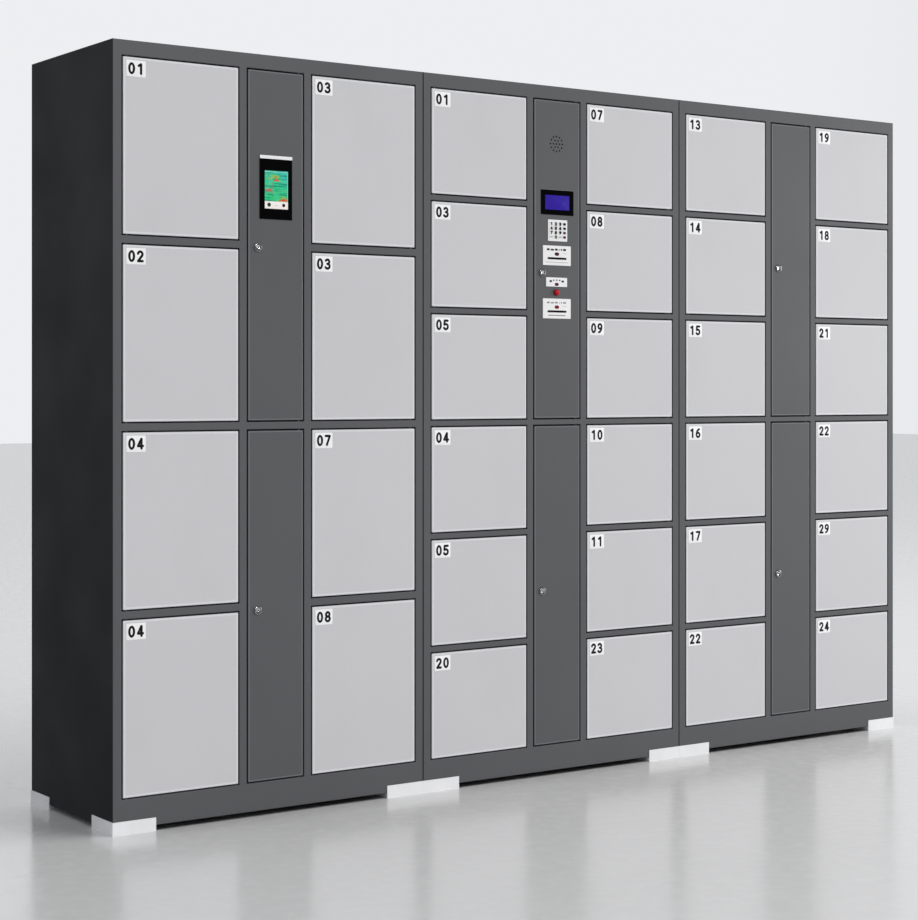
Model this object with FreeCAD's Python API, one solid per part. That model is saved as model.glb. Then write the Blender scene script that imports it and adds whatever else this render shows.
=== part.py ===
import FreeCAD, Part
import math
import os

os.makedirs("parts", exist_ok=True)
Vector = FreeCAD.Vector

# Parcel locker: a bank of three bolted cabinet modules, in millimetres.
# X runs along the front (left module first), -Y is the front, +Z is up, Z = 0 is the floor.

# Overall size
HEIGHT = 1800.0
MODULE_PITCH = 846.0
MODULE_GAP = 2.0
BODY_DEPTH = 456.0
BODY_BOTTOM = 13.0

# Sheet metal
SHEET = 1.2
BEND = 2.0
FRAME_DEPTH = 25.0
BACK_FLANGE = 15.0

# Front layout, measured from the left edge of a module
OUTER_MARGIN = 26.0
DOOR_WIDTH = 296.0
STILE_ZONE = 26.0
SERVICE_WIDTH = 150.0
GAP = 3.0

# Front layout, heights
DOORS_BOTTOM = 83.0
DOORS_TOP = 1762.0
LARGE_SPACING = 24.0
SMALL_SPACING = 20.0

# Doors
DOOR_SHEET = 1.0
DOOR_DEPTH = 18.0
DOOR_EDGE = 1.6
DOOR_LIP = 12.0
STIFFENER_WIDTH = 44.0
STIFFENER_DEPTH = 12.0
PIVOT_INSET = 10.0
PIVOT_DEPTH = 6.0
PIN_RADIUS = 3.0
PIN_LENGTH = 6.0
RUNNING_CLEARANCE = 0.05

# Striker on the door and electronic lock on the partition
STRIKER_INSET = 10.0
STRIKER_REACH = 27.0
STRIKER_HEIGHT = 20.0
LOCK_WIDTH = 30.4
LOCK_DEPTH = 50.0
LOCK_HEIGHT = 70.0
LOCK_SLOT_WIDTH = 10.0
LOCK_SLOT_HEIGHT = 26.0
LOCK_SLOT_DEPTH = 26.0
LOCK_SETBACK = 3.0

# Cam locks of the service doors
CAM_LOCK_INSET = 26.0
CAM_HEAD_RADIUS = 10.0
CAM_HEAD_PROUD = 2.0
CAM_BARREL_RADIUS = 8.0
CAM_PLUG_RADIUS = 6.0
CAM_REACH = 34.0
CAM_WIDTH = 14.0
CAM_THICKNESS = 2.0

# Corner feet
FOOT_LENGTH = 108.0
FOOT_HEIGHT = 31.0
FOOT_WALL = 2.0
FOOT_FLOOR = 3.0

# Shelves, back panels and anchors
SHELF_FLANGE = 12.0
BACK_PANEL_EASE = 1.0
ANCHOR_RADIUS = 4.5
ANCHOR_SPACING = 510.0
ANCHOR_HEIGHTS = (240.0, 1560.0)
VENT_WIDTH = 60.0
VENT_HEIGHT = 4.0
VENT_PITCH = 12.0
VENT_COUNT = 8
COUPLING_RADIUS = 4.0
COUPLING_DEPTHS = (-150.0, 170.0)
COUPLING_HEIGHTS = (150.0, 1650.0)
GLAND_HEIGHT = 180.0
GLAND_BORE = 6.0
GLAND_RADIUS = 10.0
GLAND_FLANGE = 14.0

# Touch terminal in the upper service door of the left module
TERMINAL_CENTRE = (423.0, 1486.5)
TERMINAL_SIZE = (89.0, 151.0)
TERMINAL_PROUD = 2.0

# Controls in the upper service door of the middle module, as (x, z) from the module's left edge
SPEAKER_CENTRE = (421.0, 1649.5)
SPEAKER_RINGS = ((0.0, 1), (9.8, 6), (19.6, 12))
SPEAKER_HOLE = 2.4
LCD_CENTRE = (423.3, 1496.0)
LCD_SIZE = (108.0, 65.0)
LCD_WINDOW = (81.0, 38.5)
KEYPAD_CENTRE = (424.0, 1423.0)
KEYPAD_SIZE = (63.5, 56.0)
KEY_SIZE = (12.0, 9.4)
KEY_PITCH = (14.4, 11.4)
PANEL_SIZES = ((92.0, 51.5), (69.5, 24.0), (92.0, 52.0))
PANEL_CENTRES = ((421.6, 1357.4), (420.6, 1288.0), (421.4, 1218.8))
PANEL_THICKNESS = 1.5
TICKET_SLOT = (62.0, 5.0)
TICKET_SLOT_DROP = 7.6
BUTTON_CENTRE = (419.5, 1261.0)
BUTTON_RADIUS = 7.7
BUTTON_PROUD = 5.2
BUTTON_DOME = 3.2
BUTTON_TRAVEL = 3.0

MODULES = ("a", "b", "c")
DOORS_PER_COLUMN = {"a": 4, "b": 6, "c": 6}
CAM_HEIGHTS = {
    "a": {"upper": 1343.0, "lower": 486.0},
    "b": {"upper": 1311.0, "lower": 482.0},
    "c": {"upper": 1351.0, "lower": 483.0},
}

FRONT = -BODY_DEPTH / 2
BACK = BODY_DEPTH / 2
FRAME_BACK = FRONT + FRAME_DEPTH
BACK_PANEL_FRONT = BACK - 2 * SHEET
DOOR_BACK = FRONT + DOOR_DEPTH
PIVOT_Y = FRONT + PIVOT_DEPTH
EDGE_FACE = OUTER_MARGIN - GAP - MODULE_GAP / 2
STILE_FACE = STILE_ZONE - 2 * GAP
SERVICE_LEFT = OUTER_MARGIN + DOOR_WIDTH + STILE_ZONE
SERVICE_RIGHT = SERVICE_LEFT + SERVICE_WIDTH
PARTITION_X = OUTER_MARGIN + DOOR_WIDTH + STILE_ZONE / 2
HEAD_BOTTOM = DOORS_TOP + GAP
BASE_TOP = DOORS_BOTTOM - GAP
MID_HEIGHT = (DOORS_TOP + DOORS_BOTTOM) / 2


def module_left(module):
    """X of the left edge of a module's share of the front."""
    return (MODULES.index(module) - len(MODULES) / 2) * MODULE_PITCH


def module_centre(module):
    """X of the middle plane of a module."""
    return module_left(module) + MODULE_PITCH / 2


def spacing(module):
    """Distance between neighbouring doors of a column."""
    if DOORS_PER_COLUMN[module] == 4:
        return LARGE_SPACING
    return SMALL_SPACING


def door_height(module):
    """Height of one parcel door of a module."""
    count = DOORS_PER_COLUMN[module]
    return (DOORS_TOP - DOORS_BOTTOM - (count - 1) * spacing(module)) / count


def door_span(module, number):
    """Bottom and top of a parcel door; number 1 is the top door."""
    top = DOORS_TOP - (number - 1) * (door_height(module) + spacing(module))
    return top - door_height(module), top


def rail_heights(module):
    """Middle heights of the rails between the doors of a column, from the top down."""
    count = DOORS_PER_COLUMN[module]
    return [door_span(module, n)[0] - spacing(module) / 2 for n in range(1, count)]


def service_span(module, level):
    """Bottom and top of a service door."""
    if level == "upper":
        return MID_HEIGHT + spacing(module) / 2, DOORS_TOP
    return DOORS_BOTTOM, MID_HEIGHT - spacing(module) / 2


def box(x0, x1, y0, y1, z0, z1):
    """Axis-aligned box between two corners."""
    return Part.makeBox(x1 - x0, y1 - y0, z1 - z0, Vector(x0, y0, z0))


def cylinder(radius, start, end, x, y, z, axis):
    """Cylinder along axis "x", "y" or "z" from start to end; the other two coordinates place it."""
    length = end - start
    if axis == "x":
        return Part.makeCylinder(radius, length, Vector(start, y, z), Vector(1, 0, 0))
    if axis == "y":
        return Part.makeCylinder(radius, length, Vector(x, start, z), Vector(0, 1, 0))
    return Part.makeCylinder(radius, length, Vector(x, y, start), Vector(0, 0, 1))


def mirrored(shape, module):
    """Mirror image of a shape in the middle plane of a module."""
    return shape.mirror(Vector(module_centre(module), 0, 0), Vector(1, 0, 0))


def profile_edges(corners, place):
    """Edges of a closed outline given as (a, b, radius) corners."""
    edges = []
    ends = []
    count = len(corners)
    for i in range(count):
        a, b, radius = corners[i]
        corner = Vector(a, b, 0)
        before = Vector(corners[i - 1][0], corners[i - 1][1], 0) - corner
        after = Vector(corners[(i + 1) % count][0], corners[(i + 1) % count][1], 0) - corner
        before.normalize()
        after.normalize()
        if radius < 0.01:
            ends.append((corner, None, corner))
            continue
        half = before.getAngle(after) / 2
        middle = before + after
        middle.normalize()
        reach = radius / math.tan(half)
        nearest = corner + middle * (radius / math.sin(half) - radius)
        ends.append((corner + before * reach, nearest, corner + after * reach))
    for i in range(count):
        first, nearest, last = ends[i]
        if nearest is not None:
            edges.append(Part.Arc(place(first), place(nearest), place(last)).toShape())
        following = ends[(i + 1) % count][0]
        if last.distanceToPoint(following) > 0.001:
            edges.append(Part.makeLine(place(last), place(following)))
    return edges


def extrusion(corners, axis, start, end):
    """Solid with a constant (a, b, radius) outline: XY along "z", YZ along "x", XZ along "y"."""
    if axis == "z":
        edges = profile_edges(corners, lambda p: Vector(p.x, p.y, start))
        step = Vector(0, 0, end - start)
    elif axis == "x":
        edges = profile_edges(corners, lambda p: Vector(start, p.x, p.y))
        step = Vector(end - start, 0, 0)
    else:
        edges = profile_edges(corners, lambda p: Vector(p.x, start, p.y))
        step = Vector(0, end - start, 0)
    return Part.Face(Part.Wire(edges)).extrude(step)


def sheet_outline(path, thickness, bend):
    """Outline of a folded sheet: path is its outer skin and the sheet lies on the left of it."""
    outer = []
    inner = []
    normals = []
    for first, last in zip(path, path[1:]):
        run = Vector(last[0] - first[0], last[1] - first[1], 0)
        run.normalize()
        normals.append(Vector(-run.y, run.x, 0))
    for i, (a, b) in enumerate(path):
        before = normals[max(i - 1, 0)]
        after = normals[min(i, len(normals) - 1)]
        shift = (before + after) * (thickness / (1 + before.dot(after)))
        folded = 0 < i < len(path) - 1
        outer.append((a, b, bend if folded else 0.0))
        inner.append((a + shift.x, b + shift.y, bend - thickness if folded else 0.0))
    return outer + inner[::-1]


def folded(path, thickness, axis, start, end, bend=BEND):
    """Folded sheet of constant section."""
    return extrusion(sheet_outline(path, thickness, bend), axis, start, end)


def export(name, shapes):
    """Write one node as a STEP file."""
    Part.makeCompound(shapes).exportStep(f"parts/{name}.step")


def edge_wedge(module):
    """Room that the left side panel keeps for itself; its ends are mitred at 45 degrees."""
    x0 = module_left(module) + MODULE_GAP / 2
    x1 = x0 + EDGE_FACE
    corners = [
        (x0, BODY_BOTTOM, 0.0),
        (x1, BODY_BOTTOM + EDGE_FACE, 0.0),
        (x1, HEIGHT - EDGE_FACE, 0.0),
        (x0, HEIGHT, 0.0),
    ]
    return extrusion(corners, "y", FRONT - 1, BACK + 1)


def side_panel(module):
    """Left side panel of a module, folded round to form the outer front stile."""
    x0 = module_left(module) + MODULE_GAP / 2
    x1 = x0 + EDGE_FACE
    path = [(x0 + BACK_FLANGE, BACK), (x0, BACK), (x0, FRONT), (x1, FRONT), (x1, FRAME_BACK)]
    panel = folded(path, SHEET, "z", BODY_BOTTOM, HEIGHT)
    return panel.common(edge_wedge(module))


def coupling_points():
    """(y, z) of the bolts that join neighbouring modules."""
    return [(y, z) for y in COUPLING_DEPTHS for z in COUPLING_HEIGHTS]


def coupling_bolt(x, y, z):
    """Bolt, nut and spacer washer that join two modules at the seam x."""
    grip = MODULE_GAP / 2 + SHEET
    shank = cylinder(COUPLING_RADIUS, x - grip - 8, x + grip + 4, 0, y, z, "x")
    washer = cylinder(9.0, x - MODULE_GAP / 2, x + MODULE_GAP / 2, 0, y, z, "x")
    head = cylinder(6.5, x + grip, x + grip + 5, 0, y, z, "x")
    nut = cylinder(6.5, x - grip - 6, x - grip, 0, y, z, "x")
    return shank.fuse([washer, head, nut])


def make_side_panels():
    panels = []
    for module in MODULES:
        left = side_panel(module)
        right = mirrored(left, module)
        drills = {left: module_left(module), right: module_left(module) + MODULE_PITCH}
        for panel, seam in drills.items():
            if abs(seam) < MODULE_PITCH:
                for y, z in coupling_points():
                    hole = cylinder(COUPLING_RADIUS, seam - 5, seam + 5, 0, y, z, "x")
                    panel = panel.cut(hole)
            panels.append(panel)
    for module in MODULES[1:]:
        for y, z in coupling_points():
            panels.append(coupling_bolt(module_left(module), y, z))
    export("side_panels", panels)


def pivot_positions(module):
    """X of the pivots of the left parcel, right parcel and service doors."""
    left = module_left(module)
    return (
        left + OUTER_MARGIN + PIVOT_INSET,
        left + MODULE_PITCH - OUTER_MARGIN - PIVOT_INSET,
        left + SERVICE_RIGHT - PIVOT_INSET,
    )


def drilled_for_pivots(shape, positions, z0, z1):
    """Shape with pivot holes between two heights."""
    radius = PIN_RADIUS + RUNNING_CLEARANCE
    holes = [cylinder(radius, z0, z1, x, PIVOT_Y, 0, "z") for x in positions]
    return shape.cut(holes)


def make_top_and_floor_panels():
    tops = []
    floors = []
    for module in MODULES:
        x0 = module_left(module) + MODULE_GAP / 2
        x1 = x0 + MODULE_PITCH - MODULE_GAP
        wedge = edge_wedge(module)
        wedges = [wedge, mirrored(wedge, module)]
        pivots = pivot_positions(module)
        path = [
            (BACK, HEIGHT - BACK_FLANGE),
            (BACK, HEIGHT),
            (FRONT, HEIGHT),
            (FRONT, HEAD_BOTTOM),
            (FRAME_BACK, HEAD_BOTTOM),
        ]
        top = folded(path, SHEET, "x", x0, x1).cut(wedges)
        tops.append(drilled_for_pivots(top, pivots, HEAD_BOTTOM - 1, HEAD_BOTTOM + 5))
        path = [
            (FRAME_BACK, BASE_TOP),
            (FRONT, BASE_TOP),
            (FRONT, BODY_BOTTOM),
            (BACK, BODY_BOTTOM),
            (BACK, BODY_BOTTOM + BACK_FLANGE),
        ]
        floor = folded(path, SHEET, "x", x0, x1).cut(wedges)
        floors.append(drilled_for_pivots(floor, pivots, BASE_TOP - 5, BASE_TOP + 1))
    export("top_panels", tops)
    export("floor_panels", floors)


def slot(x, z, width, height, y0, y1):
    """Round-ended horizontal slot cutter through the thickness y0 to y1."""
    half = height / 2
    straight = box(x - width / 2 + half, x + width / 2 - half, y0, y1, z - half, z + half)
    ends = [cylinder(half, y0, y1, x + s * (width / 2 - half), 0, z, "y") for s in (-1, 1)]
    return straight.fuse(ends)


def make_back_panels():
    panels = []
    y0 = BACK_PANEL_FRONT
    y1 = y0 + SHEET
    for module in MODULES:
        left = module_left(module) + MODULE_GAP / 2 + SHEET + BACK_PANEL_EASE
        right = module_left(module) + MODULE_PITCH - MODULE_GAP / 2 - SHEET - BACK_PANEL_EASE
        bottom = BODY_BOTTOM + SHEET + BACK_PANEL_EASE
        panel = box(left, right, y0, y1, bottom, HEIGHT - SHEET - BACK_PANEL_EASE)
        cutters = []
        centre = module_centre(module)
        for x in (centre - ANCHOR_SPACING / 2, centre + ANCHOR_SPACING / 2):
            for z in ANCHOR_HEIGHTS:
                cutters.append(cylinder(ANCHOR_RADIUS, y0 - 1, y1 + 1, x, 0, z, "y"))
        for base in (330.0, 1600.0):
            for i in range(VENT_COUNT):
                z = base + i * VENT_PITCH
                cutters.append(slot(centre, z, VENT_WIDTH, VENT_HEIGHT, y0 - 1, y1 + 1))
        if module == "b":
            cutters.append(cylinder(GLAND_RADIUS, y0 - 1, y1 + 1, centre, 0, GLAND_HEIGHT, "y"))
        panels.append(panel.cut(cutters))
    export("back_panels", panels)


def make_frame_stiles():
    stiles = []
    for module in MODULES:
        x0 = module_left(module) + OUTER_MARGIN + DOOR_WIDTH + GAP
        x1 = x0 + STILE_FACE
        path = [(x0, FRAME_BACK), (x0, FRONT), (x1, FRONT), (x1, FRAME_BACK)]
        stile = folded(path, SHEET, "z", BASE_TOP, HEAD_BOTTOM)
        stiles.append(stile)
        stiles.append(mirrored(stile, module))
    export("frame_stiles", stiles)


def rail(module, x0, x1, z, pivots):
    """Channel rail between x0 and x1 with its middle at height z."""
    half = spacing(module) / 2 - GAP
    path = [(FRAME_BACK, z + half), (FRONT, z + half), (FRONT, z - half), (FRAME_BACK, z - half)]
    channel = folded(path, SHEET, "x", x0, x1)
    return drilled_for_pivots(channel, pivots, z - half - 1, z + half + 1)


def make_frame_rails():
    rails = []
    for module in MODULES:
        left_pivot, right_pivot, service_pivot = pivot_positions(module)
        x0 = module_left(module) + OUTER_MARGIN - GAP
        x1 = module_left(module) + OUTER_MARGIN + DOOR_WIDTH + GAP
        for z in rail_heights(module):
            channel = rail(module, x0, x1, z, [left_pivot])
            rails.append(channel)
            rails.append(mirrored(channel, module))
        x0 = module_left(module) + SERVICE_LEFT - GAP
        x1 = module_left(module) + SERVICE_RIGHT + GAP
        rails.append(rail(module, x0, x1, MID_HEIGHT, [service_pivot]))
    export("frame_rails", rails)


def make_partitions():
    partitions = []
    for module in MODULES:
        x0 = module_left(module) + PARTITION_X - SHEET / 2
        x1 = x0 + SHEET
        wall = box(x0, x1, FRAME_BACK, BACK_PANEL_FRONT, BODY_BOTTOM + SHEET, HEIGHT - SHEET)
        tongue = box(x0, x1, FRONT + SHEET, FRAME_BACK, BASE_TOP, HEAD_BOTTOM)
        partition = wall.fuse(tongue).removeSplitter()
        partitions.append(partition)
        partitions.append(mirrored(partition, module))
    export("partitions", partitions)


def shelf(x0, x1, top):
    """Shelf with a turned-down front edge."""
    path = [(BACK_PANEL_FRONT, top), (FRAME_BACK, top), (FRAME_BACK, top - SHELF_FLANGE)]
    return folded(path, SHEET, "x", x0, x1)


def make_shelves():
    shelves = []
    for module in MODULES:
        rise = spacing(module) / 2 - GAP
        x0 = module_left(module) + MODULE_GAP / 2 + SHEET
        x1 = module_left(module) + PARTITION_X - SHEET / 2
        tops = [z + rise for z in rail_heights(module)] + [BASE_TOP]
        for top in tops:
            plate = shelf(x0, x1, top)
            shelves.append(plate)
            shelves.append(mirrored(plate, module))
        x0 = module_left(module) + PARTITION_X + SHEET / 2
        x1 = module_left(module) + MODULE_PITCH - PARTITION_X - SHEET / 2
        shelves.append(shelf(x0, x1, MID_HEIGHT + rise))
        shelves.append(shelf(x0, x1, BASE_TOP))
    export("shelves", shelves)


def corner_foot(module, outer):
    """Front left foot of a module: a plastic cap that wraps the bottom corner."""
    body_x = module_left(module) + MODULE_GAP / 2
    x0 = body_x - (FOOT_WALL if outer else MODULE_GAP / 2)
    x1 = module_left(module) + FOOT_LENGTH
    y0 = FRONT - FOOT_WALL
    y1 = FRONT + FOOT_LENGTH
    cap = box(x0, x1, y0, y1, 0, FOOT_HEIGHT)
    vertical = [
        e for e in cap.Edges
        if abs(e.tangentAt(e.FirstParameter).z) > 0.9
        and e.CenterOfMass.x < x0 + 1
        and e.CenterOfMass.y < y0 + 1
    ]
    cap = cap.makeFillet(2.5 if outer else 0.6, vertical)
    pocket = box(body_x, x1 + 1, FRONT, y1 + 1, BODY_BOTTOM, FOOT_HEIGHT + 1)
    step = FOOT_FLOOR + 8
    underside = box(x0 + step, x1 - step, y0 + step, y1 - step, -1, BODY_BOTTOM - FOOT_FLOOR)
    rib = box((x0 + x1) / 2 - 1.5, (x0 + x1) / 2 + 1.5, y0 + 1, y1 - 1, 0.5, BODY_BOTTOM)
    return cap.cut([pocket, underside]).fuse(rib.cut(pocket))


def make_corner_feet():
    feet = []
    for module in MODULES:
        left = corner_foot(module, module == MODULES[0])
        right = corner_foot(module, module == MODULES[-1])
        for foot in (left, mirrored(right, module)):
            feet.append(foot)
            feet.append(foot.mirror(Vector(0, 0, 0), Vector(0, 1, 0)))
    export("corner_feet", feet)


def electronic_lock(module, z):
    """Lock of a left-column door: housing on the partition with a slot for the striker."""
    x1 = module_left(module) + PARTITION_X - SHEET / 2
    x0 = x1 - LOCK_WIDTH
    y0 = FRAME_BACK + LOCK_SETBACK
    y1 = y0 + LOCK_DEPTH
    half = LOCK_HEIGHT / 2
    housing = box(x0, x1, y0, y1, z - half, z + half)
    slot_x = module_left(module) + OUTER_MARGIN + DOOR_WIDTH - STRIKER_INSET + 0.5
    entry = box(
        slot_x - LOCK_SLOT_WIDTH / 2,
        slot_x + LOCK_SLOT_WIDTH / 2,
        y0 - 1,
        y0 + LOCK_SLOT_DEPTH,
        z - LOCK_SLOT_HEIGHT / 2,
        z + LOCK_SLOT_HEIGHT / 2,
    )
    plug = box(x0 + 8, x0 + 20, y1, y1 + 8, z - 12, z + 12)
    return housing.cut(entry).fuse(plug)


def make_electronic_locks():
    locks = []
    for module in MODULES:
        for number in range(1, DOORS_PER_COLUMN[module] + 1):
            z0, z1 = door_span(module, number)
            lock = electronic_lock(module, (z0 + z1) / 2)
            locks.append(lock)
            locks.append(mirrored(lock, module))
    export("electronic_locks", locks)


def circuit_board(x, z, width, height):
    """Controller board on four posts fixed to the back panel, with its larger components."""
    y1 = BACK_PANEL_FRONT
    board = box(x - width / 2, x + width / 2, y1 - 17.6, y1 - 16, z - height / 2, z + height / 2)
    parts = []
    for sx in (-1, 1):
        for sz in (-1, 1):
            px = x + sx * (width / 2 - 6)
            pz = z + sz * (height / 2 - 6)
            parts.append(cylinder(3.0, y1 - 16, y1, px, 0, pz, "y"))
    for i in range(8):
        pz = z - height / 2 + 24 + i * (height - 48) / 7
        parts.append(box(x - width / 2 + 3, x - width / 2 + 15, y1 - 30, y1 - 17.6, pz - 8, pz + 8))
    parts.append(box(x - 12, x + 24, y1 - 21, y1 - 17.6, z - 18, z + 18))
    return board.fuse(parts)


def make_control_electronics():
    items = []
    shelf_top = MID_HEIGHT + SMALL_SPACING / 2 - GAP
    x = module_centre("b")
    y1 = BACK_PANEL_FRONT
    supply = box(x - 55, x + 55, y1 - 60, y1, 1060, 1260)
    terminal_strip = box(x - 50, x + 50, y1 - 80, y1 - 60, 1064, 1080)
    items.append(supply.fuse(terminal_strip))
    items.append(circuit_board(x, 1420, 130, 230))
    items.append(box(x - 50, x + 50, y1 - 160, y1 - 90, shelf_top, shelf_top + 95))
    computer_x = module_centre("a")
    computer = box(computer_x - 60, computer_x + 60, y1 - 45, y1, 1180, 1340)
    fins = [
        box(computer_x - 56 + i * 14, computer_x - 52 + i * 14, y1 - 55, y1 - 45, 1184, 1336)
        for i in range(9)
    ]
    items.append(computer.fuse(fins))
    items.append(circuit_board(module_centre("c"), 1420, 130, 230))
    collar = cylinder(GLAND_FLANGE, y1 + SHEET, y1 + SHEET + 3, x, 0, GLAND_HEIGHT, "y")
    barrel = cylinder(GLAND_RADIUS, y1 - 14, y1 + SHEET, x, 0, GLAND_HEIGHT, "y")
    nut = cylinder(GLAND_FLANGE, y1 - 6, y1, x, 0, GLAND_HEIGHT, "y")
    bore = cylinder(GLAND_BORE, y1 - 15, y1 + SHEET + 4, x, 0, GLAND_HEIGHT, "y")
    items.append(collar.fuse([barrel, nut]).cut(bore))
    export("control_electronics", items)


def door_pan(x0, x1, z0, z1):
    """Door skin with folded edges and return lips, open at the back."""
    skin = box(x0, x1, FRONT, DOOR_BACK, z0, z1)
    rounded = []
    for edge in skin.Edges:
        along_y = abs(edge.tangentAt(edge.FirstParameter).y) > 0.9
        if along_y or abs(edge.CenterOfMass.y - FRONT) < 0.01:
            rounded.append(edge)
    skin = skin.makeFillet(DOOR_EDGE, rounded)
    t = DOOR_SHEET
    hollow = box(x0 + t, x1 - t, FRONT + t, DOOR_BACK - t, z0 + t, z1 - t)
    lip = DOOR_LIP
    window = box(x0 + lip, x1 - lip, DOOR_BACK - t - 1, DOOR_BACK + 1, z0 + lip, z1 - lip)
    return skin.cut([hollow, window])


def stiffener(x, z0, z1):
    """Channel stiffener behind the door skin."""
    y0 = FRONT + DOOR_SHEET
    y1 = y0 + STIFFENER_DEPTH
    half = STIFFENER_WIDTH / 2
    path = [(x + half, y0), (x + half, y1), (x - half, y1), (x - half, y0)]
    return folded(path, DOOR_SHEET, "z", z0, z1, 1.8)


def pivot_pins(x, z0, z1):
    """Pins on the top and bottom edges of a door."""
    return [
        cylinder(PIN_RADIUS, z0 - PIN_LENGTH, z0, x, PIVOT_Y, 0, "z"),
        cylinder(PIN_RADIUS, z1, z1 + PIN_LENGTH, x, PIVOT_Y, 0, "z"),
    ]


def striker(x, z):
    """Angle bracket on the latch lip whose drilled tab enters the electronic lock."""
    half = STRIKER_HEIGHT / 2
    base = box(x - 1, x + 9, DOOR_BACK, DOOR_BACK + 2, z - half - 4, z + half + 4)
    tab = box(x - 1, x + 1, DOOR_BACK, DOOR_BACK + STRIKER_REACH, z - half, z + half)
    hole = cylinder(4.0, x - 2, x + 2, 0, DOOR_BACK + STRIKER_REACH - 8, z, "x")
    return base.fuse(tab).cut(hole)


def make_parcel_doors():
    for module in MODULES:
        left = module_left(module)
        x0 = left + OUTER_MARGIN
        x1 = x0 + DOOR_WIDTH
        for number in range(1, DOORS_PER_COLUMN[module] + 1):
            z0, z1 = door_span(module, number)
            solids = [door_pan(x0, x1, z0, z1), stiffener((x0 + x1) / 2, z0 + 14, z1 - 14)]
            solids += pivot_pins(x0 + PIVOT_INSET, z0, z1)
            solids.append(striker(x1 - STRIKER_INSET, (z0 + z1) / 2))
            export(f"door_{module}_left_{number}", solids)
            export(f"door_{module}_right_{number}", [mirrored(s, module) for s in solids])


def cam_axis(module, level):
    """(x, z) of a cam lock."""
    return module_left(module) + SERVICE_LEFT + CAM_LOCK_INSET, CAM_HEIGHTS[module][level]


def cam_housing(x, z):
    """Fixed housing of a cam lock: round head, threaded barrel and nut."""
    head = cylinder(CAM_HEAD_RADIUS, FRONT - CAM_HEAD_PROUD, FRONT, x, 0, z, "y")
    rim = [e for e in head.Edges if e.CenterOfMass.y < FRONT - 1 and e.Closed]
    head = head.makeFillet(0.8, rim)
    barrel = cylinder(CAM_BARREL_RADIUS, FRONT, FRAME_BACK - 3, x, 0, z, "y")
    nut = cylinder(11.0, FRONT + DOOR_SHEET, FRONT + DOOR_SHEET + 4, x, 0, z, "y")
    bore_radius = CAM_PLUG_RADIUS + RUNNING_CLEARANCE
    bore = cylinder(bore_radius, FRONT - 5, FRAME_BACK, x, 0, z, "y")
    return head.fuse([barrel, nut]).cut(bore)


def cam_lock(x, z):
    """Turning plug with keyway, its cam and the cam's screw; the cam hangs down when unlocked."""
    front = FRONT - CAM_HEAD_PROUD
    cam_front = FRAME_BACK + 1
    cam_back = cam_front + CAM_THICKNESS
    plug = cylinder(CAM_PLUG_RADIUS, front, cam_front, x, 0, z, "y")
    keyway = box(x - 1, x + 1, front - 1, front + 4, z - 4, z + 4)
    tip = CAM_REACH - CAM_WIDTH / 2
    plate = box(x - CAM_WIDTH / 2, x + CAM_WIDTH / 2, cam_front, cam_back, z - tip, z)
    hub = cylinder(CAM_WIDTH / 2, cam_front, cam_back, x, 0, z, "y")
    nose = cylinder(CAM_WIDTH / 2, cam_front, cam_back, x, 0, z - tip, "y")
    screw = cylinder(5.0, cam_back, cam_back + 3, x, 0, z, "y")
    return [plug.cut(keyway), plate.fuse([hub, nose]).removeSplitter(), screw]


def centred(module, centre, size, y0, y1):
    """Box centred on a front-layout point of a module."""
    x = module_left(module) + centre[0]
    z = centre[1]
    return box(x - size[0] / 2, x + size[0] / 2, y0, y1, z - size[1] / 2, z + size[1] / 2)


def speaker_holes():
    """Cutters of the sound holes in the middle module."""
    x = module_left("b") + SPEAKER_CENTRE[0]
    z = SPEAKER_CENTRE[1]
    holes = []
    for radius, count in SPEAKER_RINGS:
        for i in range(count):
            turn = 2 * math.pi * i / count
            hx = x + radius * math.cos(turn)
            hz = z + radius * math.sin(turn)
            holes.append(cylinder(SPEAKER_HOLE, FRONT - 1, FRONT + 3, hx, 0, hz, "y"))
    return holes


def speaker():
    """Loudspeaker behind the sound holes: ring, basket and magnet."""
    x = module_left("b") + SPEAKER_CENTRE[0]
    z = SPEAKER_CENTRE[1]
    y0 = FRONT + DOOR_SHEET
    ring = cylinder(28.0, y0, y0 + 3, x, 0, z, "y").cut(cylinder(23.5, y0 - 1, y0 + 2, x, 0, z, "y"))
    basket = Part.makeCone(26.0, 14.0, 10.0, Vector(x, y0 + 3, z), Vector(0, 1, 0))
    magnet = cylinder(14.0, y0 + 13, y0 + 20, x, 0, z, "y")
    return ring.fuse([basket, magnet])


def button_barrel():
    """Fixed bezel and barrel of the push button."""
    x = module_left("b") + BUTTON_CENTRE[0]
    z = BUTTON_CENTRE[1]
    bezel = cylinder(BUTTON_RADIUS + 1.2, FRONT - 1.5, FRONT, x, 0, z, "y")
    barrel = cylinder(BUTTON_RADIUS + 1.2, FRONT, FRONT + 16, x, 0, z, "y")
    bore_radius = BUTTON_RADIUS + RUNNING_CLEARANCE
    bore = cylinder(bore_radius, FRONT - 5, FRONT + 13, x, 0, z, "y")
    stem_hole = cylinder(2.5 + RUNNING_CLEARANCE, FRONT + 10, FRONT + 20, x, 0, z, "y")
    return bezel.fuse(barrel).cut([bore, stem_hole])


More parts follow.
